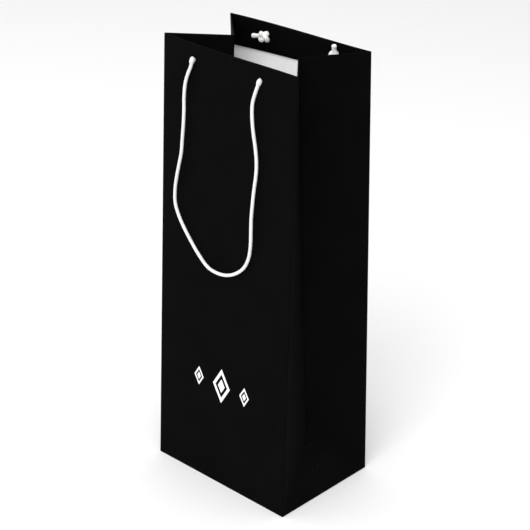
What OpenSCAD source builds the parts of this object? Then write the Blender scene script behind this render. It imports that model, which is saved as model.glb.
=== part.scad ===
// Paper gift bag for one wine bottle. It stands on its folded bottom, its mouth is drawn a little closed,
// and both gussets are pinched in along their centre creases. Millimetres, +Z up. The origin is the centre
// of the bottom. The front panel faces -Y, and "left" is -X.

/* [Bag] */
// Width of the front and back panels
bag_w = 140; // [120:1:160]
// Depth of the bottom, which is the flat width of a gusset
bag_d = 100; // [90:1:110]
// Height of the panels, measured up their slope
bag_h = 360; // [340:1:400]
// Gap between the front and back panels' top edges
mouth_gap = 75; // [64:1:84]
// Extra flat width of each half of a gusset, over half the bottom's depth
gusset_slack = 2; // [1:0.5:3]
// Thickness of the paper
paper_t = 0.4; // [0.3:0.05:0.5]

/* [Top edge] */
// Depth of the paper that is turned in at the top
hem_h = 24; // [20:1:30]
// Thickness of the card strip behind the turned-in paper
card_t = 0.8; // [0.6:0.1:1]
// Distance of the rope holes from the centre line
hole_x = 34; // [30:1:38]
// Distance of the rope holes below the top edge
hole_drop = 12; // [10:1:14]
// Diameter of the rope holes
hole_d = 3.3; // [3:0.1:3.8]

/* [Handles] */
// Diameter of the rope
rope_d = 2.5; // [2.2:0.1:2.8]
// Diameter of the stopper knots
knot_d = 10; // [8.5:0.1:10.4]
// Diameter of the rope's swelling where it leaves a hole
bulge_d = 3.8; // [3.4:0.1:4.6]
// Length of a knot's free tail, beyond the knot
tail_l = 6; // [4:0.5:6]
// How far the rear knots lie beside their holes, towards +X
rear_knot_shift = 4; // [0:0.5:4.5]

/* [Bottom] */
// Depth of the front and back bottom flaps
flap_l = 65; // [55:1:75]
// Depth of the two side bottom flaps
side_flap_l = 45; // [35:1:55]
// Thickness of the loose base board
board_t = 0.8; // [0.6:0.1:1.2]
// Width of the glue flap inside the back panel
glue_flap_w = 16; // [12:1:20]

/* [Printed ornament] */
// Height of the ornament's centre above the bottom
ornament_z = 89; // [60:1:140]
// Height of the large middle lozenge
ornament_h = 30; // [20:1:34]

/* [Hidden] */

eps = 0.05;                                    // glue line between two layers
air = 0.3;                                     // room between pieces that move apart
half_w = bag_w / 2;
half_d = bag_d / 2;
lean = asin((half_d - mouth_gap / 2) / bag_h); // tilt of each panel at rest

// Heights of the layers of the bottom, from the ground up
back_flap_z = paper_t;
side_flap_z = 2 * paper_t;
board_z = 3 * paper_t;
panel_foot = board_z + air;
gusset_foot = board_z + eps;
top_z = bag_h * cos(lean);

// Depths of the layers of the top edge, from a panel's outer face inwards
card_y = paper_t + eps;
hem_y = card_y + card_t + eps;
edge_t = hem_y + paper_t;
hem_half_w = half_w - 2.5;
card_half_w = half_w - 3.5;

hole_z = bag_h - hole_drop;
rope_off = bulge_d / 2 + 1;                    // rope's centre line, out from the panel's face

// Gussets
gusset_gap = 2 * air;                          // room between a gusset and a panel's inner face
gusset_half_w = half_d + gusset_slack;         // flat width of half a gusset
crease_start = 60;                             // height where the creases from the bottom corners meet
gusset_top = top_z - paper_t;
hem_rows = [top_z - hem_h, top_z - hem_h / 2, gusset_top];
gusset_rows = concat([gusset_foot], [for (z = [12 : 12 : top_z - hem_h - 6]) z], hem_rows);
hem_glue = 0.2;                                // room for the glue under a gusset's hem

// One handle's route in its panel's own plane: x, then height up the panel
ROUTE = [
  [-34, 348], [-35.5, 342.5], [-38.5, 336], [-41, 328], [-42, 318], [-42, 307], [-42.5, 296], [-43.5, 284],
  [-44.5, 273], [-47, 262], [-49.5, 251], [-51, 240], [-50.5, 230], [-46.5, 221], [-40.5, 212.5],
  [-33, 204], [-25, 196], [-15, 188.5], [-5, 186.5], [6, 188], [16, 193], [24, 200.5], [28.5, 210],
  [30, 221], [30, 232], [30, 243], [31, 256], [32, 266], [33.5, 278], [33.5, 288], [32, 298],
  [29.5, 309.5], [28, 320], [28, 330], [30.5, 339], [34, 348]
];
rope_sides = 8;

// ---- Frames -------------------------------------------------------------------------------------

// Children are drawn on a standing sheet: x across, y inwards from its outer face, z up the slope
module front_frame() {
  translate([0, -half_d, 0]) rotate([-lean, 0, 0]) children();
}

module back_frame() {
  rotate([0, 0, 180]) front_frame() children();
}

// ---- Panels and top edge ------------------------------------------------------------------------

module sheet(x0, x1, y, t, z0, z1) {
  translate([x0, y, z0]) cube([x1 - x0, t, z1 - z0]);
}

module rope_holes() {
  for (side = [-1, 1])
    translate([side * hole_x, -1, hole_z]) rotate([-90, 0, 0]) cylinder(d = hole_d, h = edge_t + 2, $fn = 32);
}

module panel_sheet() {
  difference() {
    sheet(-half_w, half_w, 0, paper_t, panel_foot, bag_h - paper_t);
    rope_holes();
  }
}

module card_sheet() {
  difference() {
    sheet(-card_half_w, card_half_w, card_y, card_t, bag_h - hem_h + 1, bag_h - paper_t - eps);
    rope_holes();
  }
}

// The turned-in paper, with the fold that goes over the top edge
module hem_sheet() {
  difference() {
    union() {
      sheet(-hem_half_w, hem_half_w, hem_y, paper_t, bag_h - hem_h, bag_h);
      sheet(-hem_half_w, hem_half_w, 0, edge_t, bag_h - paper_t, bag_h);
    }
    rope_holes();
  }
}

// ---- Gussets ------------------------------------------------------------------------------------

// Distance from the middle plane to a panel's inner face at height z
function inner_y(z) = half_d - z * tan(lean) - (paper_t + gusset_gap) / cos(lean);

// How far the centre crease is pinched in: a half keeps its flat width above the bottom's corner creases
function full_pinch(z) = sqrt(pow(gusset_half_w, 2) - pow(half_d - z * tan(lean), 2));
function pinch(z) = z < crease_start ? full_pinch(crease_start) * z / crease_start : full_pinch(z);

// A point on the right gusset's front half: s from 0 at the corner to 1 at the crease, off inwards
function gusset_point(z, s, off) =
  let (
    d = pinch(z),
    y = inner_y(z) - eps,
    len = sqrt(d * d + y * y)
  ) [half_w - d * s - off * y / len, -(inner_y(z) - y * s) - off * d / len, z];

// A thin shell over the gusset half, from s0 to s1 across it. Each row is a ring of points, out along the
// outer face and back along the inner one, and both faces split their quads along the same diagonal.
module gusset_shell(rows, s0, s1, off) {
  cols = 2;
  ring = 2 * cols + 2;
  n = len(rows);
  function across(k) = s0 + (s1 - s0) * (k <= cols ? k : ring - 1 - k) / cols;
  points = [for (z = rows) for (k = [0 : ring - 1])
    gusset_point(z, across(k), k <= cols ? off : off + paper_t)];
  walls = [for (i = [0 : n - 2]) for (k = [0 : ring - 1]) each
    let (a = ring * i + k, b = ring * i + (k + 1) % ring)
    k <= cols
      ? [[a, b + ring, b], [a, a + ring, b + ring]]
      : [[a, a + ring, b], [b, a + ring, b + ring]]];
  last = ring * (n - 1);
  ends = [for (k = [0 : cols - 1]) each
    let (a = k, b = k + 1, c = ring - 2 - k, d = ring - 1 - k) [
      [a, b, c], [a, c, d],
      [last + a, last + c, last + b], [last + a, last + d, last + c]
    ]];
  polyhedron(points = points, faces = concat(walls, ends));
}

module gusset_half() {
  gusset_shell(gusset_rows, 0, 1, 0);
}

module gusset_hem_half() {
  gusset_shell(hem_rows, 0.08, 0.97, paper_t + hem_glue);
}

// ---- Handles ------------------------------------------------------------------------------------

// A stopper knot behind its hole, or beside it by shift, with the rope's stub through the hole. The tail
// turns from +Z to +X.
module knot(tail_angle, shift = 0) {
  knot_y = edge_t + air + knot_d / 2;
  rod_l = knot_d / 2 + tail_l;
  rotate([-90, 0, 0]) cylinder(d = rope_d, h = knot_y, $fn = 24);
  translate([shift, knot_y, 0]) {
    rotate([0, 45, 90]) sphere(d = knot_d, $fn = 32);
    rotate([0, tail_angle, 0]) cylinder(d = rope_d, h = rod_l, $fn = 24);
  }
}

// Radius of the rope at a point of its route
rope_r = rope_d / 2;
bulge_r = bulge_d / 2;

// Centre line with a few more rings round each end's swelling: x, height, radius
function unit(v) = v / norm(v);
function end_rings(p, q) = let (u = unit(q - p)) [
  for (k = [[-0.95, 0.3], [-0.6, 0.8], [0, 1]]) concat(p + u * bulge_r * k[0], bulge_r * k[1])
];
function reversed(list) = [for (i = [len(list) - 1 : -1 : 0]) list[i]];
function route_rings() = let (n = len(ROUTE)) concat(
  end_rings(ROUTE[0], ROUTE[1]),
  [for (i = [1 : n - 2]) concat(ROUTE[i], rope_r)],
  reversed(end_rings(ROUTE[n - 1], ROUTE[n - 2]))
);

module rope_loop() {
  rings = route_rings();
  n = len(rings);
  step = 360 / rope_sides;
  points = [for (i = [0 : n - 1])
    let (
      before = rings[max(i - 1, 0)],
      after = rings[min(i + 1, n - 1)],
      along = unit([after[0] - before[0], after[1] - before[1]]),
      r = rings[i][2]
    )
    for (k = [0 : rope_sides - 1])
      [rings[i][0] - along[1] * r * cos(k * step), -rope_off + r * sin(k * step),
       rings[i][1] + along[0] * r * cos(k * step)]
  ];
  walls = [for (i = [0 : n - 2]) for (k = [0 : rope_sides - 1])
    let (a = rope_sides * i + k, b = rope_sides * i + (k + 1) % rope_sides)
    each [[a, b, b + rope_sides], [a, b + rope_sides, a + rope_sides]]];
  last = rope_sides * (n - 1);
  start_cap = [for (k = [rope_sides - 1 : -1 : 0]) k];
  end_cap = [for (k = [0 : rope_sides - 1]) last + k];
  polyhedron(points = points, faces = concat(walls, [start_cap, end_cap]));
}

// ---- Printed ornament ---------------------------------------------------------------------------

ornament_t = 0.1;
small_ratio = 0.55;                            // height of a side lozenge, as a share of the middle one
side_x = 25;                                   // distance of the side lozenges from the middle

// A lozenge outline with a smaller lozenge left open in it
module lozenge(h) {
  w = h * 0.62;
  difference() {
    polygon([[0, h / 2], [w / 2, 0], [0, -h / 2], [-w / 2, 0]]);
    polygon([[0, h / 3], [w / 3, 0], [0, -h / 3], [-w / 3, 0]]);
  }
  polygon([[0, h / 5], [w / 5, 0], [0, -h / 5], [-w / 5, 0]]);
}

// ---- Nodes --------------------------------------------------------------------------------------

module bottom_front_flap() {
  color("black") translate([-half_w, -half_d, 0]) cube([bag_w, flap_l, paper_t]);
}

module bottom_back_flap() {
  color("black") translate([-half_w, half_d - flap_l, back_flap_z]) cube([bag_w, flap_l, paper_t]);
}

module bottom_right_flap() {
  inset = 1;
  color("black") translate([half_w - side_flap_l, inset - half_d, side_flap_z])
    cube([side_flap_l, bag_d - 2 * inset, paper_t]);
}

module bottom_left_flap() {
  color("black") mirror([1, 0, 0]) bottom_right_flap();
}

module base_board() {
  inset = 1.5;
  color("gainsboro") translate([inset - half_w, inset - half_d, board_z])
    cube([bag_w - 2 * inset, bag_d - 2 * inset, board_t]);
}

module gusset_right_front() {
  color("black") gusset_half();
}

module gusset_right_back() {
  color("black") mirror([0, 1, 0]) gusset_half();
}

module gusset_left_front() {
  color("black") mirror([1, 0, 0]) gusset_half();
}

module gusset_left_back() {
  color("black") rotate([0, 0, 180]) gusset_half();
}

module gusset_hem_right_front() {
  color("dimgray") gusset_hem_half();
}

module gusset_hem_right_back() {
  color("dimgray") mirror([0, 1, 0]) gusset_hem_half();
}

module gusset_hem_left_front() {
  color("dimgray") mirror([1, 0, 0]) gusset_hem_half();
}

module gusset_hem_left_back() {
  color("dimgray") rotate([0, 0, 180]) gusset_hem_half();
}

module front_panel() {
  color("black") front_frame() panel_sheet();
}

module front_card_strip() {
  color("gainsboro") front_frame() card_sheet();
}

module front_hem() {
  color("dimgray") front_frame() hem_sheet();
}

module front_knot_left() {
  color("white") front_frame() translate([-hole_x, 0, hole_z]) knot(-90);
}

module front_knot_right() {
  color("white") front_frame() translate([hole_x, 0, hole_z]) knot(90);
}

module printed_ornament() {
  color("white") front_frame() translate([0, 0, ornament_z]) rotate([90, 0, 0])
    linear_extrude(ornament_t) {
      lozenge(ornament_h);
      for (side = [-1, 1]) translate([side * side_x, 0]) lozenge(ornament_h * small_ratio);
    }
}

module back_panel() {
  color("black") back_frame() panel_sheet();
}

module back_card_strip() {
  color("gainsboro") back_frame() card_sheet();
}

module back_hem() {
  color("dimgray") back_frame() hem_sheet();
}

// Seen from the front the back panel's left is its own +X side
module back_knot_left() {
  color("white") back_frame() translate([hole_x, 0, hole_z]) knot(90, -rear_knot_shift);
}

module back_knot_right() {
  color("white") back_frame() translate([-hole_x, 0, hole_z]) knot(0, -rear_knot_shift);
}

module glue_flap() {
  edge = 1.5;
  color("dimgray") back_frame()
    sheet(edge - half_w, edge + glue_flap_w - half_w, card_y, paper_t, panel_foot + 1, bag_h - hem_h - 1);
}

module front_rope_handle() {
  color("white") front_frame() rope_loop();
}

module back_rope_handle() {
  color("white") back_frame() rope_loop();
}

bottom_front_flap();
bottom_back_flap();
bottom_left_flap();
bottom_right_flap();
base_board();
gusset_right_front();
gusset_right_back();
gusset_left_front();
gusset_left_back();
gusset_hem_right_front();
gusset_hem_right_back();
gusset_hem_left_front();
gusset_hem_left_back();
front_panel();
front_card_strip();
front_hem();
front_knot_left();
front_knot_right();
printed_ornament();
back_panel();
back_card_strip();
back_hem();
back_knot_left();
back_knot_right();
glue_flap();
front_rope_handle();
back_rope_handle();
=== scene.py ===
import math

import bmesh
import bpy
from mathutils import Matrix, Vector, noise


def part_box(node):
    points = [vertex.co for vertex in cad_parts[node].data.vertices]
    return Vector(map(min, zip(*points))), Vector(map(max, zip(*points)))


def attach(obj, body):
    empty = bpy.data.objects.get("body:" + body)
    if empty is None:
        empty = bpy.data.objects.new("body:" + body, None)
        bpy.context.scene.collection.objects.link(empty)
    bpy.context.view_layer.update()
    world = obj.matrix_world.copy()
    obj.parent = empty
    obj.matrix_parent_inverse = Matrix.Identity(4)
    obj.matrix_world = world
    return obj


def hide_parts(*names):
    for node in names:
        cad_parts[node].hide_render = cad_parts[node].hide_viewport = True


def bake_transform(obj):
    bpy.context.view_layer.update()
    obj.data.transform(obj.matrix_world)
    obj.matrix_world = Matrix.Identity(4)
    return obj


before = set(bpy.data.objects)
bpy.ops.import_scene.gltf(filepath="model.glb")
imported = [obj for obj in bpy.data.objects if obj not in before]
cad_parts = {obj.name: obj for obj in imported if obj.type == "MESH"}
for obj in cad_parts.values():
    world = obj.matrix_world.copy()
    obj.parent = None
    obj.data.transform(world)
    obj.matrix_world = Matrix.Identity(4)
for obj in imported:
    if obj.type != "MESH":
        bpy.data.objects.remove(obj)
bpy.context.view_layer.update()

MM = 0.001

# ---- Sizes from the frame -------------------------------------------------------------------------

FLAP_LOW, FLAP_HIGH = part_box("bottom_front_flap")
HEM_LOW, HEM_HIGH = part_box("front_hem")
HALF_W = FLAP_HIGH[0]
HALF_D = -FLAP_LOW[1]
TOP_Z = HEM_HIGH[2]
HEM_BOTTOM_Z = HEM_LOW[2]
SLOPE_H = 360 * MM
LEAN = math.acos(TOP_Z / SLOPE_H)

# ---- Paper sizes ----------------------------------------------------------------------------------

PAPER_T = 0.35 * MM
HEM_PANEL_T = 1.7 * MM            # outer sheet, card and turned-in paper together
HEM_GUSSET_T = 0.8 * MM           # outer sheet and turned-in paper, with no card between
TOP_ROUND = 0.5 * MM              # height of the rounding over the top edge
FOLD_R = 0.5 * MM                 # radius of the corner folds
WALL_FOOT = 0.45 * MM             # the walls start here, above the folds of the bottom flaps
CREASE_START = 50 * MM            # the height where the creases from the bottom corners meet

# How the standing paper departs from flat sheets
BOW = {-1: 2.0 * MM, 1: 1.3 * MM}  # outward bow of the front (-1) and back (+1) top edges
HEM_RISE = {-1: 0.0, 1: 1.2 * MM}  # how much higher the hem's lower edge lies than on a neat fold
HEM_TILT = {-1: 0.0, 1: 0.0325}    # and how far it runs out of level, per unit of x
BOW_FROM = 0.45                    # share of the height where the bow starts
TWIST = 2.2 * MM                   # the mouth is this much wider on its right, per wall
RIPPLE = 0.16 * MM                 # soft waves of the panels
RIPPLE_FADE = 60 * MM              # height over which they grow from nothing
GUSSET_SLACK = {-1: 2.2 * MM, 1: 3.2 * MM}  # extra flat width of half of the left and right gusset
CREASE_DROP = {-1: 1.3 * MM, 1: 3.6 * MM}   # how much lower the creases end than the corners

# ---- Rope -----------------------------------------------------------------------------------------

ROPE_D = 2.5 * MM
BULGE_D = 3.8 * MM
ROPE_OFF = BULGE_D / 2 + 1 * MM
NOSE = 2.8 * MM                  # the rope runs on past the middle of its hole
NOSE_POINTS = 10
NOSE_LEAN = (-0.45, 0, 0.2)      # the way it leans there, in its panel's own frame
SWELLING = 3.3 * MM              # half the length of the swelling at each end
HOLE_X = 34 * MM
HOLE_Z = 348 * MM
HOLE_D = 3.3 * MM
BRAID_STEP = 0.27 * MM           # distance between the rings of a rope's mesh
BRAID_SIDES = 36
GROOVE = 0.10                    # depth of the grooves between the strands, as a share of the radius
STRAND_RISE = 0.06               # how far the strands stand out past it, as a share of the radius
DIAMOND_L = 1.7 * MM             # length of the diamonds that the crossing strands make
DIAMONDS = 6                     # how many of them go round the rope

# One handle's route in its panel's own plane, in metres: x, then height up the panel
ROUTE = [
    (-0.034, 0.348), (-0.0355, 0.3425), (-0.0385, 0.336), (-0.041, 0.328), (-0.042, 0.318),
    (-0.042, 0.307), (-0.0425, 0.296), (-0.0435, 0.284), (-0.0445, 0.273), (-0.047, 0.262),
    (-0.0495, 0.251), (-0.051, 0.240), (-0.0505, 0.230), (-0.0465, 0.221), (-0.0405, 0.2125),
    (-0.033, 0.204), (-0.025, 0.196), (-0.015, 0.1885), (-0.005, 0.1865), (0.006, 0.188),
    (0.016, 0.193), (0.024, 0.2005), (0.0285, 0.210), (0.030, 0.221), (0.030, 0.232),
    (0.030, 0.243), (0.031, 0.256), (0.032, 0.266), (0.0335, 0.278), (0.0335, 0.288),
    (0.032, 0.298), (0.0295, 0.3095), (0.028, 0.320), (0.028, 0.330), (0.0305, 0.339), (0.034, 0.348),
]

# ---- Camera ---------------------------------------------------------------------------------------


def make_camera():
    """Looks at the bag's front right edge, from a little above."""
    azimuth, elevation, roll = math.radians(43.36), math.radians(25.89), math.radians(0.35)
    distance = 1.2760
    back = Vector((
        math.sin(azimuth) * math.cos(elevation),
        -math.cos(azimuth) * math.cos(elevation),
        math.sin(elevation),
    ))
    right = Vector((math.cos(azimuth), math.sin(azimuth), 0))
    up = back.cross(right)
    target = Vector((0, 0, SLOPE_H / 2)) + right * 0.00154 - up * 0.0013
    across = right * math.cos(roll) + up * math.sin(roll)
    upward = up * math.cos(roll) - right * math.sin(roll)
    data = bpy.data.cameras.new("camera")
    data.sensor_width = 36
    data.lens = 111.08
    camera = bpy.data.objects.new("camera", data)
    bpy.context.collection.objects.link(camera)
    camera.matrix_world = Matrix.Translation(target + back * distance) @ Matrix((
        (across.x, upward.x, back.x, 0),
        (across.y, upward.y, back.y, 0),
        (across.z, upward.z, back.z, 0),
        (0, 0, 0, 1),
    ))
    bpy.context.scene.camera = camera


# ---- Mesh helpers ---------------------------------------------------------------------------------


def new_piece(name, vertices, faces, materials, face_materials=None, smooth=True):
    mesh = bpy.data.meshes.new(name)
    mesh.from_pydata([tuple(v) for v in vertices], [], faces)
    for material in materials:
        mesh.materials.append(material)
    if face_materials:
        mesh.polygons.foreach_set("material_index", face_materials)
    mesh.polygons.foreach_set("use_smooth", [smooth] * len(mesh.polygons))
    mesh.validate()
    mesh.update()
    piece = bpy.data.objects.new(name, mesh)
    bpy.context.collection.objects.link(piece)
    tidy = bmesh.new()
    tidy.from_mesh(mesh)
    bmesh.ops.recalc_face_normals(tidy, faces=tidy.faces)
    tidy.to_mesh(mesh)
    tidy.free()
    return piece


def smooth_line(points, step):
    """Points about step apart along a Catmull-Rom curve through the given ones."""
    points = [Vector(p) for p in points]
    padded = [points[0] * 2 - points[1], *points, points[-1] * 2 - points[-2]]
    line = []
    for p0, p1, p2, p3 in zip(padded, padded[1:], padded[2:], padded[3:]):
        pieces = max(1, round((p2 - p1).length / step))
        for i in range(pieces):
            t = i / pieces
            line.append(0.5 * (
                2 * p1 + (p2 - p0) * t + (2 * p0 - 5 * p1 + 4 * p2 - p3) * t * t
                + (3 * p1 - p0 - 3 * p2 + p3) * t * t * t
            ))
    line.append(points[-1])
    return line


def mark(piece, name, values):
    """Stores one number for each point of a piece, for its material."""
    layer = piece.data.attributes.new(name, "FLOAT", "POINT")
    layer.data.foreach_set("value", values)


def line_length(line):
    return sum((b - a).length for a, b in zip(line, line[1:]))


# ---- Where the paper is ---------------------------------------------------------------------------


def half_gap(z):
    """Distance from the middle plane to a panel's outer face, at height z."""
    return HALF_D - z * math.tan(LEAN)


def pinch(z, hand):
    """How far the centre crease of the left (-1) or right (+1) gusset is pushed in, at height z.

    Below CREASE_START it is what the folds there would give if they ran on down to the bottom."""
    folded_at = max(z, CREASE_START)
    gap = half_gap(folded_at) + twist(hand * HALF_W, folded_at)
    half_width = HALF_D + GUSSET_SLACK[hand]
    return math.sqrt(half_width ** 2 - gap ** 2)


def out_to_heel(point, z, inside):
    """Moves a gusset's point out to the heel: the flat triangle that rises from the bottom's edge.

    Its two slanting creases and the centre crease make the upside-down Y of a folded bag."""
    hand = -1 if point.x < 0 else 1
    depth = pinch(z, hand)
    heel_x = HALF_W - depth * z / CREASE_START - inside * math.hypot(depth, CREASE_START) / CREASE_START
    return Vector((hand * max(abs(point.x), heel_x), point.y))


def bow(x, z, side):
    """Outward bow of a panel towards its top edge."""
    rise = max(0.0, (z / TOP_Z - BOW_FROM) / (1 - BOW_FROM))
    across = math.cos(math.pi / 2 * max(-1.0, min(1.0, x / HALF_W)))
    return BOW[side] * across * rise * rise


def twist(x, z):
    """Extra distance outwards of a panel: its right side stands further out than its left."""
    share = max(-1.0, min(1.0, x / HALF_W))
    return TWIST * share ** 3 * z / TOP_Z


def ripple(x, z, side):
    """Soft waves, which fade out at the folds and at the bottom."""
    edge = math.cos(math.pi / 2 * max(-1.0, min(1.0, x / HALF_W)))
    fade = min(1.0, z / RIPPLE_FADE) * edge
    wave = noise.noise(Vector((x * 16, z * 9, 3.7 + 5 * side)))
    return RIPPLE * fade * wave


def panel_y(x, z, side, inward=0.0):
    """y of a panel's sheet at x and height z; side is -1 for the front and +1 for the back."""
    outward = half_gap(z) + bow(x, z, side) + twist(x, z) + ripple(x, z, side)
    return side * (outward - inward)


def intersect(p, u, q, v):
    """Where the line through p along u meets the line through q along v, in the plane."""
    cross = u.x * v.y - u.y * v.x
    t = ((q.x - p.x) * v.y - (q.y - p.y) * v.x) / cross
    return p + u * t


def fillet(corner, arrive, leave, radius, count):
    """Points of an arc that rounds a corner; arrive and leave are unit directions."""
    turn = math.acos(max(-1.0, min(1.0, arrive.dot(leave))))
    reach = radius * math.tan(turn / 2)
    start = corner - arrive * reach
    sense = 1 if arrive.x * leave.y - arrive.y * leave.x > 0 else -1
    normal = Vector((-arrive.y, arrive.x)) * sense
    centre = start + normal * radius
    arm = start - centre
    return [
        centre + Matrix.Rotation(sense * turn * i / (count - 1), 2) @ arm for i in range(count)
    ]


# How finely the folded sheet is divided, from crease to crease and from the foot to the hem's lower edge
GUSSET_COLUMNS = 24
FILLET_COLUMNS = 7
PANEL_COLUMNS = 44
ROW_COLUMNS = 2 * (GUSSET_COLUMNS + FILLET_COLUMNS) + PANEL_COLUMNS - 1
HEEL_ROWS = 24                     # rows below CREASE_START
WALL_ROWS = 56                     # rows between there and the rounding over the top edge
BEND_STEPS = 8
HEM_STEPS = 6
LEAST_RADIUS = 0.12 * MM           # of the corner folds, on the innermost surface


def half_row(z, in_panel, in_gusset):
    """Plan points of the front half of the bag at height z, from the left crease to the right one.

    in_panel and in_gusset are how far the wanted surface lies inside the outer face."""
    radius = max(LEAST_RADIUS, FOLD_R - min(in_panel, in_gusset))
    gap = {s: half_gap(z) + twist(s * HALF_W, z) for s in (-1, 1)}
    corner = {s: Vector((s * HALF_W, -gap[s])) for s in (-1, 1)}
    along = (corner[1] - corner[-1]).normalized()
    panel_point = corner[-1] + Vector((-along.y, along.x)) * in_panel
    halves = {}
    for s in (-1, 1):
        crease = Vector((s * (HALF_W - pinch(z, s)), 0))
        to_crease = (crease - corner[s]).normalized()
        inward = Vector((-s * to_crease.y, s * to_crease.x))
        halves[s] = (corner[s] + inward * in_gusset, to_crease)
    rounded = {}
    for s in (-1, 1):
        point, to_crease = halves[s]
        at = intersect(panel_point, along, point, to_crease)
        if s < 0:
            arc = fillet(at, -to_crease, along, radius, FILLET_COLUMNS)
        else:
            arc = fillet(at, along, to_crease, radius, FILLET_COLUMNS)
        end = intersect(point, to_crease, Vector((0, 0)), Vector((1, 0)))
        rounded[s] = (arc, end)
    left_arc, left_end = rounded[-1]
    right_arc, right_end = rounded[1]
    left = [left_end.lerp(left_arc[0], i / GUSSET_COLUMNS) for i in range(GUSSET_COLUMNS)]
    right = [right_arc[-1].lerp(right_end, i / GUSSET_COLUMNS) for i in range(1, GUSSET_COLUMNS + 1)]
    if z < CREASE_START:
        left, right = ([out_to_heel(p, z, in_gusset) for p in line] for line in (left, right))
    panel = [left_arc[-1].lerp(right_arc[0], i / PANEL_COLUMNS) for i in range(1, PANEL_COLUMNS)]
    return [*left, *left_arc, *panel, *right_arc, *right]


def panel_shape(x, z, side):
    """Outward departure of a panel from the straight line between its corners."""
    share = max(-1.0, min(1.0, x / HALF_W))
    curl = TWIST * (share ** 3 - share) * z / TOP_Z
    return bow(x, z, side) + curl + ripple(x, z, side)


# ---- The folded sheet -----------------------------------------------------------------------------


def sheet_stations():
    """The sheet's way up the wall, over the top edge and down inside.

    Each station is the outer surface and the inner surface: (in_panel, in_gusset, z)."""
    shoulder = TOP_Z - TOP_ROUND
    heights = [WALL_FOOT]
    heights += [CREASE_START * i / HEEL_ROWS for i in range(1, HEEL_ROWS + 1)]
    heights += [CREASE_START + (shoulder - CREASE_START) * i / WALL_ROWS for i in range(1, WALL_ROWS + 1)]
    stations = [((0, 0, z), (PAPER_T, PAPER_T, z)) for z in heights]
    for i in range(1, BEND_STEPS):
        angle = math.pi * i / BEND_STEPS
        c, s = math.cos(angle), math.sin(angle)
        outer = [t / 2 * (1 - c) for t in (HEM_PANEL_T, HEM_GUSSET_T)]
        inner = [t / 2 - (t / 2 - PAPER_T) * c for t in (HEM_PANEL_T, HEM_GUSSET_T)]
        stations.append((
            (*outer, shoulder + TOP_ROUND * s),
            (*inner, shoulder + (TOP_ROUND - PAPER_T) * s),
        ))
    for i in range(HEM_STEPS + 1):
        z = shoulder + (HEM_BOTTOM_Z - shoulder) * i / HEM_STEPS
        stations.append((
            (HEM_PANEL_T, HEM_GUSSET_T, z),
            (HEM_PANEL_T - PAPER_T, HEM_GUSSET_T - PAPER_T, z),
        ))
    return stations


def make_sheet_part(name, side, first, last, black, white):
    """The part of the bag's folded sheet between two columns of its rows, on the front or the back.

    It is white inside, apart from its edges and what lies under the hem."""
    stations = sheet_stations()
    vertices, faces, face_materials = [], [], []
    columns = last - first + 1
    for i, station in enumerate(stations):
        down_hem = max(0.0, 1 - (len(stations) - 1 - i) / HEM_STEPS)
        for in_panel, in_gusset, z in station:
            row = half_row(z, in_panel, in_gusset)
            for k in range(first, last + 1):
                point = row[k]
                from_crease = min(k, ROW_COLUMNS - 1 - k)
                on_panel = from_crease >= GUSSET_COLUMNS + FILLET_COLUMNS
                shift = panel_shape(point.x, z, side) if on_panel else 0.0
                to_crease = max(0.0, 1 - from_crease / GUSSET_COLUMNS)
                drop = CREASE_DROP[-1 if point.x < 0 else 1] * to_crease * (z / TOP_Z) ** 2
                drop -= (HEM_RISE[side] + HEM_TILT[side] * point.x) * down_hem
                vertices.append((point.x, side * (-point.y + shift), z - drop))

    def at(i, surface, k):
        return (2 * i + surface) * columns + k

    def add(face, material):
        faces.append(face)
        face_materials.append(material)

    for i in range(len(stations) - 1):
        under_hem = stations[i][1][2] >= HEM_BOTTOM_Z
        for k in range(columns - 1):
            add((at(i, 0, k), at(i, 0, k + 1), at(i + 1, 0, k + 1), at(i + 1, 0, k)), 0)
            add((at(i, 1, k), at(i + 1, 1, k), at(i + 1, 1, k + 1), at(i, 1, k + 1)),
                0 if under_hem else 1)
        for k in (0, columns - 1):
            add((at(i, 0, k), at(i + 1, 0, k), at(i + 1, 1, k), at(i, 1, k)), 0)
    for end, material in ((0, 0), (len(stations) - 1, 1)):
        for k in range(columns - 1):
            add((at(end, 0, k), at(end, 1, k), at(end, 1, k + 1), at(end, 0, k + 1)), material)
    return new_piece(name, vertices, faces, [black, white], face_materials)


def make_panel_patch(name, side, x_range, z_range, depths, material):
    """A sheet that follows a panel's inside, such as a card strip or the glue flap."""
    columns, rows = 24, 16
    vertices, faces = [], []
    for depth in depths:
        for j in range(rows + 1):
            z = z_range[0] + (z_range[1] - z_range[0]) * j / rows
            for i in range(columns + 1):
                x = x_range[0] + (x_range[1] - x_range[0]) * i / columns
                vertices.append((x, panel_y(x, z, side, depth), z))
    layer = (rows + 1) * (columns + 1)

    def at(surface, i, j):
        return surface * layer + j * (columns + 1) + i

    for surface in (0, 1):
        for j in range(rows):
            for i in range(columns):
                faces.append((at(surface, i, j), at(surface, i + 1, j),
                              at(surface, i + 1, j + 1), at(surface, i, j + 1)))
    for j in range(rows):
        for i in (0, columns):
            faces.append((at(0, i, j), at(0, i, j + 1), at(1, i, j + 1), at(1, i, j)))
    for i in range(columns):
        for j in (0, rows):
            faces.append((at(0, i, j), at(0, i + 1, j), at(1, i + 1, j), at(1, i, j)))
    return new_piece(name, vertices, faces, [material], smooth=False)


def wall_matrix(side):
    """From a panel's own frame (x across, y inwards, z up the slope) to the row frame."""
    lean = Matrix.Translation((0, -HALF_D, 0)) @ Matrix.Rotation(-LEAN, 4, "X")
    return lean if side < 0 else Matrix.Rotation(math.pi, 4, "Z") @ lean


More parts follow.
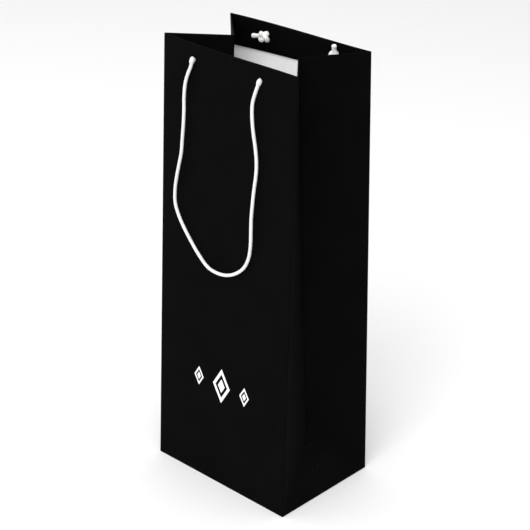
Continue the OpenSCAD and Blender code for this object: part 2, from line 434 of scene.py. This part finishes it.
def punch_rope_holes(piece, side):
    """Cuts the two rope holes through a wall's sheet or card strip."""
    cutter_length = 10 * MM          # enough to pass through every sheet of the wall
    cutter = bmesh.new()
    for x in (-HOLE_X, HOLE_X):
        across = Matrix.Translation((x, 0, HOLE_Z)) @ Matrix.Rotation(math.pi / 2, 4, "X")
        bmesh.ops.create_cone(cutter, cap_ends=True, segments=32, radius1=HOLE_D / 2, radius2=HOLE_D / 2,
                              depth=cutter_length, matrix=wall_matrix(side) @ across)
    mesh = bpy.data.meshes.new("rope_hole_cutter")
    cutter.to_mesh(mesh)
    cutter.free()
    tool = bpy.data.objects.new("rope_hole_cutter", mesh)
    bpy.context.collection.objects.link(tool)
    cut = piece.modifiers.new("rope_holes", "BOOLEAN")
    cut.operation, cut.solver, cut.object = "DIFFERENCE", "EXACT", tool
    punched = bpy.data.meshes.new_from_object(piece.evaluated_get(bpy.context.evaluated_depsgraph_get()))
    piece.modifiers.clear()
    piece.data = punched
    bpy.data.objects.remove(tool)
    bpy.data.meshes.remove(mesh)


# ---- Bottom flaps ---------------------------------------------------------------------------------


def make_flap(name, across, inward, fold, half_width, length, under_z, foot_z, materials):
    """A bottom flap: a sheet that curls down out of the wall at its fold and runs in under the bag.

    across and inward are unit directions on the ground, and fold is the middle of the fold line."""
    radius = foot_z - under_z
    curl_steps, run_steps, width_steps = 6, 10, 12
    taper = 0.05
    outer, inner = [], []
    for i in range(curl_steps + 1):
        angle = math.pi / 2 * i / curl_steps
        c, s = math.cos(angle), math.sin(angle)
        inner_r = radius - PAPER_T
        outer.append((radius - radius * c, foot_z - radius * s))
        inner.append((radius - inner_r * c, foot_z - inner_r * s))
    for i in range(1, run_steps + 1):
        depth = radius + (length - radius) * i / run_steps
        outer.append((depth, under_z))
        inner.append((depth, under_z + PAPER_T))
    vertices, faces, face_materials = [], [], []
    for line in (outer, inner):
        for depth, z in line:
            reach = half_width - taper * depth
            for k in range(width_steps + 1):
                flat = fold + across * reach * (2 * k / width_steps - 1) + inward * depth
                vertices.append((flat.x, flat.y, z))
    row, rows = width_steps + 1, len(outer)

    def at(surface, i, k):
        return (surface * rows + i) * row + k

    def add(face, material):
        faces.append(face)
        face_materials.append(material)

    for i in range(rows - 1):
        for k in range(width_steps):
            for surface in (0, 1):
                add((at(surface, i, k), at(surface, i, k + 1),
                     at(surface, i + 1, k + 1), at(surface, i + 1, k)),
                    surface if i > curl_steps else 0)
        for k in (0, width_steps):
            add((at(0, i, k), at(0, i + 1, k), at(1, i + 1, k), at(1, i, k)), 0)
    for i, material in ((0, 0), (rows - 1, 1)):
        for k in range(width_steps):
            add((at(0, i, k), at(0, i, k + 1), at(1, i, k + 1), at(1, i, k)), material)
    return new_piece(name, vertices, faces, materials, face_materials)


# ---- Rope -----------------------------------------------------------------------------------------


def tube(name, line, radius_at, material):
    """A closed rope along a line of points, with the diamond relief of a braided cord."""
    vertices, faces, strands = [], [], []
    sides = BRAID_SIDES
    normal = (line[1] - line[0]).orthogonal().normalized()
    travelled = 0.0
    for i, point in enumerate(line):
        ahead = line[min(i + 1, len(line) - 1)] - line[max(i - 1, 0)]
        along = ahead.normalized()
        normal = (normal - along * normal.dot(along)).normalized()
        binormal = along.cross(normal)
        if i:
            travelled += (point - line[i - 1]).length
        radius = radius_at(travelled)
        turn = math.pi * travelled / DIAMOND_L
        for k in range(sides):
            angle = 2 * math.pi * k / sides
            across = DIAMONDS / 2 * angle
            strand = math.sqrt(abs(math.sin(across + turn) * math.sin(across - turn)))
            r = radius * (1 - GROOVE + (GROOVE + STRAND_RISE) * strand)
            strands.append(strand)
            vertices.append(point + normal * r * math.cos(angle) + binormal * r * math.sin(angle))
    for i in range(len(line) - 1):
        for k in range(sides):
            a, b = i * sides + k, i * sides + (k + 1) % sides
            faces.append((a, b, b + sides, a + sides))
    faces.append(tuple(range(sides - 1, -1, -1)))
    faces.append(tuple(range(len(vertices) - sides, len(vertices))))
    rope = new_piece(name, vertices, faces, [material])
    # the rope's material also greys the grooves by this value, as painted shade
    mark(rope, "strand", strands)
    return rope


def nose_points(start, way, lean):
    """Points that carry the rope on past its hole: they set off along way and lean over."""
    points = []
    for _ in range(NOSE_POINTS):
        way = (way + lean / NOSE_POINTS).normalized()
        start = start + way * (NOSE / NOSE_POINTS)
        points.append(start)
    return points


def make_handle(name, side, material):
    """A rope loop that hangs from its two holes, and swells where it comes out of each."""
    place = wall_matrix(side)
    route = [place @ Vector((x, -ROPE_OFF, z)) for x, z in ROUTE]
    inner = smooth_line(route, BRAID_STEP)
    lean = place.to_3x3() @ Vector(NOSE_LEAN)
    start_nose = nose_points(inner[0], (inner[0] - inner[2]).normalized(), lean)
    end_nose = nose_points(inner[-1], (inner[-1] - inner[-3]).normalized(), lean)
    line = start_nose[::-1] + inner + end_nose
    total = line_length(line)

    def radius_at(s):
        from_middle = (min(s, total - s) - SWELLING) / SWELLING
        bulge = BULGE_D / 2 * math.sqrt(max(0.03, 1 - from_middle ** 2))
        return bulge if from_middle < 0 else max(ROPE_D / 2, bulge)

    handle = tube(name, line, radius_at, material)
    return handle


KNOT_SIZE = 1.3 * MM              # scale of the overhand knot: its lobes lie at three times this
KNOT_SWELL = 0.5                  # the rope is this much thicker where it is tied
TAIL_SWELL = 0.6                  # and at the cut end of its tail, where the braid opens
TAIL_ROUND = 1.4 * MM
KNOT_DEPTH = 1.3 * MM             # how far its crossings part, each way
KNOT_OPENING = 0.5                # angle that its curve leaves open for the rope's two ends, each way
KNOT_STEPS = 22
TAIL_FROM = 2.6                   # where the tail leaves it, in knot sizes from its middle
STUB = 1.5 * MM                   # how far the rope's stub stands out of its hole, into the swelling


def make_knot(name, side, x, beside, tail_turn, tail_length, material):
    """An overhand knot that holds the rope inside its hole.

    beside is how far to the left and how high above its hole it lies, seen from outside the panel, and
    tail_turn turns its tail from left to up."""
    hole_world = wall_matrix(side) @ Vector((x, 0, HOLE_Z))
    stand_out = bow(hole_world.x, hole_world.z, side) + twist(hole_world.x, hole_world.z)
    offset = Vector((-beside[0], 0, beside[1]))
    middle = HEM_PANEL_T + ROPE_D / 2 + KNOT_DEPTH + 0.6 * MM
    turn = Matrix.Rotation(tail_turn, 4, "Y")
    knot = []
    for i in range(KNOT_STEPS + 1):
        a = math.pi + KNOT_OPENING + (2 * math.pi - 2 * KNOT_OPENING) * i / KNOT_STEPS
        across = -(math.sin(a) + 2 * math.sin(2 * a)) * KNOT_SIZE
        up = (math.cos(a) - 2 * math.cos(2 * a)) * KNOT_SIZE
        knot.append(Vector((across, middle - KNOT_DEPTH * math.sin(3 * a), up)))
    tail_from = turn @ Vector((-TAIL_FROM * KNOT_SIZE, middle, 0))
    tail_way = turn @ Vector((-1, 0.1, 0)) + Vector((0, 0, -0.2))
    tail = [tail_from + tail_way * tail_length * share for share in (0.35, 0.7, 1)]
    points = [Vector((0, -STUB, 0)), Vector((0, HEM_PANEL_T, 0))]
    points += [p + offset for p in [turn @ q for q in knot] + tail]
    place = wall_matrix(side) @ Matrix.Translation((x, -stand_out, HOLE_Z))
    line = smooth_line([place @ p for p in points], BRAID_STEP)
    total = line_length(line)
    tied = total - tail_length

    def radius_at(s):
        end = total - s
        tip = math.sqrt(max(0.05, 1 - (1 - end / TAIL_ROUND) ** 2)) if end < TAIL_ROUND else 1
        if s < tied:
            swell = KNOT_SWELL * math.sin(math.pi * s / tied) ** 0.5
        else:
            swell = TAIL_SWELL * (s - tied) / tail_length
        return ROPE_D / 2 * (1 + swell) * tip

    return tube(name, line, radius_at, material)


# ---- Printed ornament -----------------------------------------------------------------------------

ORNAMENT_Z = 89 * MM
ORNAMENT_H = 30 * MM
SIDE_X = 25 * MM
SMALL_RATIO = 0.55
SLENDERNESS = 0.31                # half of a lozenge's width, as a share of its height
INK_T = 0.07 * MM                 # the ink reaches this far to each side of the panel's surface


def make_ornament(name, material):
    """Three lozenges printed on the front panel: outlines with a small solid lozenge in each."""
    vertices, faces = [], []
    pieces = 6

    def loop(x, height, share):
        h, w = height / 2 * share, height * SLENDERNESS * share
        tips = [(x, ORNAMENT_Z + h), (x + w, ORNAMENT_Z), (x, ORNAMENT_Z - h), (x - w, ORNAMENT_Z)]
        points = []
        for (ax, az), (bx, bz) in zip(tips, tips[1:] + tips[:1]):
            for i in range(pieces):
                t = i / pieces
                points.append((ax + (bx - ax) * t, az + (bz - az) * t))
        return points

    def lay(points, proud):
        start = len(vertices)
        vertices.extend((x, panel_y(x, z, -1, -proud), z) for x, z in points)
        return list(range(start, start + len(points)))

    def bridge(a, b):
        n = len(a)
        for i in range(n):
            faces.append((a[i], a[(i + 1) % n], b[(i + 1) % n], b[i]))

    for x, height in ((0, ORNAMENT_H), (-SIDE_X, ORNAMENT_H * SMALL_RATIO),
                      (SIDE_X, ORNAMENT_H * SMALL_RATIO)):
        outline, window, core = (loop(x, height, share) for share in (1, 0.70, 0.40))
        top_out, top_in = lay(outline, INK_T), lay(window, INK_T)
        low_out, low_in = lay(outline, -INK_T), lay(window, -INK_T)
        for a, b in ((top_out, top_in), (top_in, low_in), (low_in, low_out), (low_out, top_out)):
            bridge(a, b)
        top_core, low_core = lay(core, INK_T), lay(core, -INK_T)
        bridge(top_core, low_core)
        faces.append(tuple(top_core))
        faces.append(tuple(reversed(low_core)))
    return new_piece(name, vertices, faces, [material], smooth=False)


# ---- Materials ------------------------------------------------------------------------------------


class Nodes:
    """Short ways to add and link shader nodes in one material."""

    def __init__(self, name):
        self.material = bpy.data.materials.new(name)
        self.material.use_nodes = True
        self.tree = self.material.node_tree
        self.shader = self.tree.nodes["Principled BSDF"]
        self.coordinates = self.tree.nodes.new("ShaderNodeTexCoord").outputs["Object"]

    def link(self, output, socket):
        self.tree.links.new(output, socket)

    def noise(self, scale, detail=4, roughness=0.5, stretch=None):
        node = self.tree.nodes.new("ShaderNodeTexNoise")
        node.inputs["Scale"].default_value = scale
        node.inputs["Detail"].default_value = detail
        node.inputs["Roughness"].default_value = roughness
        source = self.coordinates
        if stretch:
            mapping = self.tree.nodes.new("ShaderNodeMapping")
            mapping.inputs["Scale"].default_value = stretch
            self.link(source, mapping.inputs["Vector"])
            source = mapping.outputs["Vector"]
        self.link(source, node.inputs["Vector"])
        return node.outputs["Fac"]

    def ramp(self, value, stops):
        node = self.tree.nodes.new("ShaderNodeValToRGB")
        elements = node.color_ramp.elements
        while len(elements) < len(stops):
            elements.new(0.5)
        for element, (position, colour) in zip(elements, stops):
            element.position = position
            element.color = (*colour, 1)
        self.link(value, node.inputs["Fac"])
        return node.outputs["Color"]

    def spread(self, value, low, high, from_low=0.3, from_high=0.7):
        node = self.tree.nodes.new("ShaderNodeMapRange")
        node.inputs["From Min"].default_value = from_low
        node.inputs["From Max"].default_value = from_high
        node.inputs["To Min"].default_value = low
        node.inputs["To Max"].default_value = high
        self.link(value, node.inputs["Value"])
        return node.outputs["Result"]

    def maths(self, operation, a, b):
        node = self.tree.nodes.new("ShaderNodeMath")
        node.operation = operation
        for value, socket in ((a, node.inputs[0]), (b, node.inputs[1])):
            if isinstance(value, (int, float)):
                socket.default_value = value
            else:
                self.link(value, socket)
        return node.outputs["Value"]

    def mix(self, factor, a, b):
        node = self.tree.nodes.new("ShaderNodeMix")
        node.data_type = "RGBA"
        self.link(factor, node.inputs["Factor"])
        for value, socket in ((a, node.inputs["A"]), (b, node.inputs["B"])):
            if isinstance(value, tuple):
                socket.default_value = (*value, 1)
            else:
                self.link(value, socket)
        return node.outputs["Result"]

    def attribute(self, name):
        node = self.tree.nodes.new("ShaderNodeAttribute")
        node.attribute_name = name
        return node.outputs["Fac"]

    def bump(self, height, strength, distance, below=None):
        node = self.tree.nodes.new("ShaderNodeBump")
        node.inputs["Strength"].default_value = strength
        node.inputs["Distance"].default_value = distance
        self.link(height, node.inputs["Height"])
        if below:
            self.link(below, node.inputs["Normal"])
        return node.outputs["Normal"]

    def finish(self, colour=None, roughness=None, normal=None, **constants):
        for socket, value in (("Base Color", colour), ("Roughness", roughness), ("Normal", normal)):
            if value is not None:
                self.link(value, self.shader.inputs[socket])
        for socket, value in constants.items():
            self.shader.inputs[socket.replace("_", " ")].default_value = value
        return self.material


def black_paper():
    """Black printed paper with a soft matt film, with lighter specks along its folds: rubbed paper and
    painted highlight on the fold ridges.
    """
    n = Nodes("black_paper")
    tone = n.noise(scale=26, detail=5)
    base = n.ramp(tone, [(0.3, (0.0014, 0.0014, 0.0016)), (0.75, (0.0022, 0.0022, 0.0024))])
    # lighter specks on the folds: partly rubbed paper, partly painted highlight where the fold ridges catch
    # the light
    speckle = n.spread(n.noise(scale=520, detail=2, roughness=0.6), 0, 1, 0.66, 0.74)
    fold = n.spread(n.attribute("wear_and_highlight"), 0, 1, 0.35, 1)
    worn_and_highlit = n.maths("MULTIPLY", fold, speckle)
    colour = n.mix(worn_and_highlit, base, (0.06, 0.059, 0.058))
    roughness = n.spread(n.noise(scale=300, detail=4, roughness=0.6), 0.74, 0.84)
    grain = n.bump(n.noise(scale=5200, detail=2), 0.12, 0.00006)
    return n.finish(colour, roughness, grain, Specular_IOR_Level=0.022)


def white_paper():
    """The uncoated white back of the paper, with fine fibres."""
    n = Nodes("white_paper")
    cloud = n.noise(scale=140, detail=6, roughness=0.65)
    colour = n.ramp(cloud, [(0.3, (0.88, 0.875, 0.885)), (0.7, (0.93, 0.925, 0.935))])
    roughness = n.spread(cloud, 0.82, 0.92)
    fibres = n.bump(n.noise(scale=2600, detail=4, stretch=(1, 1, 0.35)), 0.25, 0.0001)
    return n.finish(colour, roughness, fibres, Specular_IOR_Level=0.3)


def grey_board():
    """Grey-white board of the base and the stiffening strips, with flecks of fibre."""
    n = Nodes("card")
    flecks = n.noise(scale=700, detail=5, roughness=0.7)
    colour = n.ramp(flecks, [(0.25, (0.52, 0.50, 0.47)), (0.45, (0.68, 0.66, 0.62)),
                             (0.8, (0.75, 0.735, 0.70))])
    fibres = n.bump(n.noise(scale=1500, detail=5, stretch=(0.4, 1, 1)), 0.3, 0.00015)
    return n.finish(colour, n.spread(flecks, 0.84, 0.95), fibres, Specular_IOR_Level=0.25)


def rope_fibre():
    """Off-white braided cord: soft yarn with a slight sheen and fine fibres, with painted shade greying the
    grooves between strands.
    """
    n = Nodes("rope")
    tone = n.noise(scale=420, detail=5, roughness=0.6)
    yarn_tone = n.ramp(tone, [(0.3, (0.76, 0.755, 0.74)), (0.7, (0.87, 0.865, 0.85))])
    # painted shade: the grooves between the strands are greyed towards (0.50, 0.49, 0.47), where shade falls
    groove_painted_shade = n.spread(n.attribute("strand"), 0, 1, 0.1, 0.75)
    colour = n.mix(groove_painted_shade, (0.50, 0.49, 0.47), yarn_tone)
    yarn = n.bump(n.noise(scale=3600, detail=4, roughness=0.65), 0.5, 0.00012)
    soft = n.bump(n.noise(scale=1100, detail=3), 0.25, 0.0002, yarn)
    return n.finish(colour, n.spread(tone, 0.62, 0.78), soft, Specular_IOR_Level=0.35,
                    Sheen_Weight=0.25, Sheen_Roughness=0.4)


def white_ink():
    """Opaque white print: smooth, with small density changes."""
    n = Nodes("white_ink")
    density = n.noise(scale=900, detail=4)
    colour = n.ramp(density, [(0.3, (0.83, 0.83, 0.83)), (0.6, (0.90, 0.90, 0.895))])
    film = n.bump(n.noise(scale=5200, detail=2), 0.10, 0.00004)
    return n.finish(colour, n.spread(density, 0.42, 0.55), film, Specular_IOR_Level=0.4)


def pale_floor():
    """Plain matt floor, a little darker than white so that white ropes show against it."""
    n = Nodes("floor")
    n.shader.inputs["Base Color"].default_value = (0.75, 0.75, 0.75, 1)
    return n.finish(Roughness=0.9, Specular_IOR_Level=0.1)


# ---- Wear and painted highlight along the folds ---------------------------------------------------


def mark_wear_and_highlight(piece, wear_and_highlight_at):
    """Stores how rubbed each point of a piece is and how much painted highlight it gets, for the paper's
    material.
    """
    mark(piece, "wear_and_highlight", [wear_and_highlight_at(v.co) for v in piece.data.vertices])


def fold_wear_and_highlight(co):
    """Rubbed, and painted lighter as a highlight, at the top edge, along the corner folds and on the centre
    creases.
    """
    top = 1 - (TOP_Z - co.z) / (0.5 * MM)
    to_corner = HALF_W - abs(co.x) + abs(abs(co.y) - half_gap(co.z))
    corner = 1 - to_corner / (1.2 * MM)
    crease = 1 - abs(co.y) / (0.6 * MM)
    return max(0.0, min(1.0, max(0.8 * top, 0.7 * corner, crease)))


# ---- Studio ---------------------------------------------------------------------------------------


def make_area_light(name, place, look_at, size, power):
    data = bpy.data.lights.new(name, "AREA")
    data.shape = "SQUARE"
    data.size = size
    data.energy = power
    light = bpy.data.objects.new(name, data)
    bpy.context.collection.objects.link(light)
    light.location = place
    light.rotation_euler = (Vector(look_at) - Vector(place)).to_track_quat("-Z", "Y").to_euler()


def make_studio():
    """Floor, three soft lights and a bright white world."""
    floor_z = -0.05 * MM             # just clear of the bottom flaps
    bpy.ops.mesh.primitive_plane_add(size=40, location=(0, 0, floor_z))
    floor = bpy.context.object
    floor.name = "floor"
    floor.data.materials.append(pale_floor())
    middle = (0, 0, SLOPE_H / 2)
    make_area_light("key", (0.65, -1.35, 1.85), middle, 1.5, 38)
    make_area_light("fill", (-1.7, -1.0, 1.1), middle, 1.6, 8)
    make_area_light("overhead", (0.1, 0.2, 2.2), middle, 1.8, 12)
    bpy.context.scene.view_settings.view_transform = "Standard"
    world = bpy.context.scene.world or bpy.data.worlds.new("world")
    bpy.context.scene.world = world
    world.use_nodes = True
    background = world.node_tree.nodes["Background"]
    background.inputs["Color"].default_value = (1, 1, 1, 1)
    background.inputs["Strength"].default_value = 0.85


# ---- The bag --------------------------------------------------------------------------------------

make_camera()
BLACK, WHITE, CARD = black_paper(), white_paper(), grey_board()
ROPE, INK = rope_fibre(), white_ink()
WALLS = {-1: "front", 1: "back"}
HANDS = {-1: "left", 1: "right"}


def place(piece, body, slot, *nodes):
    """The piece rides on a body and stands for CAD nodes."""
    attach(piece, body)
    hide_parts(*nodes)


def make_ropes():
    """The front and the rear handle."""
    for side, wall in WALLS.items():
        body = "front_handle" if side < 0 else "rear_handle"
        place(make_handle(f"{wall}_handle_rope", side, ROPE), body, "rope", f"{wall}_rope_handle")


def make_knots():
    """The four stopper knots; further beside its hole, the rear right one would cut the closed gusset."""
    left, right, up = 0, math.pi, math.pi / 2
    for wall, side, hand, x, beside, turn, tail in (
        ("front", -1, "left", -HOLE_X, (0, 0), left, 6 * MM),
        ("front", -1, "right", HOLE_X, (0, 0), right, 6 * MM),
        ("back", 1, "left", HOLE_X, (1.8 * MM, 1.5 * MM), right, 8.4 * MM),
        ("back", 1, "right", -HOLE_X, (5 * MM, 1.4 * MM), up, 8.8 * MM),
    ):
        knot = make_knot(f"{wall}_{hand}_stopper_knot", side, x, beside, turn, tail, ROPE)
        place(knot, f"{wall}_wall", "rope", f"{wall}_knot_{hand}")


def make_sheet():
    """Front and back walls, and between them the gusset halves, which run from wall to crease."""
    left_fold, right_fold = GUSSET_COLUMNS, ROW_COLUMNS - 1 - GUSSET_COLUMNS
    for side, wall in WALLS.items():
        panel = make_sheet_part(f"{wall}_wall_sheet", side, left_fold, right_fold, BLACK, WHITE)
        punch_rope_holes(panel, side)
        mark_wear_and_highlight(panel, fold_wear_and_highlight)
        place(panel, f"{wall}_wall", "black_paper", f"{wall}_panel", f"{wall}_hem")
        for sign, hand in HANDS.items():
            ends = (0, left_fold) if sign < 0 else (right_fold, ROW_COLUMNS - 1)
            gusset = make_sheet_part(f"{hand}_gusset_{wall}_sheet", side, *ends, BLACK, WHITE)
            mark_wear_and_highlight(gusset, fold_wear_and_highlight)
            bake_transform(gusset)
            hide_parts(f"gusset_{hand}_{wall}", f"gusset_hem_{hand}_{wall}")


def make_hidden_sheets():
    """The card strips under the hems, and the glue flap inside the back panel."""
    strip_edge, strip_depths = 3.5 * MM, (0.45 * MM, 1.25 * MM)
    strip_heights = (HEM_BOTTOM_Z + 4 * MM, TOP_Z - 1 * MM)
    for side, wall in WALLS.items():
        strip = make_panel_patch(f"{wall}_stiffening_card", side, (strip_edge - HALF_W, HALF_W - strip_edge),
                                 strip_heights, strip_depths, CARD)
        punch_rope_holes(strip, side)
        place(strip, f"{wall}_wall", "card", f"{wall}_card_strip")
    flap_edge, flap_w, flap_depths = 1.5 * MM, 16 * MM, (0.42 * MM, 0.77 * MM)
    flap_heights = (3 * MM, HEM_BOTTOM_Z + 3.5 * MM)
    flap = make_panel_patch("glued_seam_flap", 1, (HALF_W - flap_edge - flap_w, HALF_W - flap_edge),
                            flap_heights, flap_depths, WHITE)
    place(flap, "back_wall", "white_paper", "glue_flap")


def make_bottom():
    """The four bottom flaps: front, then back, then both sides, one on top of the other."""
    along_x, along_y = Vector((1, 0)), Vector((0, 1))
    layer = 0.4 * MM
    side_fold = 0.55 * MM            # the heels lean in this far at the height of the side flaps' folds
    long_half, short_half = HALF_W - 0.5 * MM, HALF_D - 1 * MM
    side_low, side_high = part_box("bottom_right_flap")
    flap_l, side_l = FLAP_HIGH[1] - FLAP_LOW[1], side_high[0] - side_low[0]
    for name, across, inward, fold, half_width, length, under in (
        ("bottom_front_flap", along_x, along_y, (0, -HALF_D), long_half, flap_l, 0),
        ("bottom_back_flap", along_x, -along_y, (0, HALF_D), long_half, flap_l, layer),
        ("bottom_left_flap", along_y, along_x, (side_fold - HALF_W, 0), short_half, side_l, 2 * layer),
        ("bottom_right_flap", along_y, -along_x, (HALF_W - side_fold, 0), short_half, side_l, 2 * layer),
    ):
        foot = max(WALL_FOOT, under + layer)
        flap = make_flap(f"{name}_sheet", across, inward, Vector(fold), half_width, length,
                         under, foot, [BLACK, WHITE])
        mark_wear_and_highlight(flap, lambda co: 0.0)
        place(flap, "bag", "black_paper", name)


make_ropes()
make_knots()
make_sheet()
make_hidden_sheets()
make_bottom()
place(make_ornament("printed_lozenges", INK), "front_wall", "white_ink", "printed_ornament")
for slot_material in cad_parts["base_board"].material_slots:
    slot_material.material = CARD
make_studio()
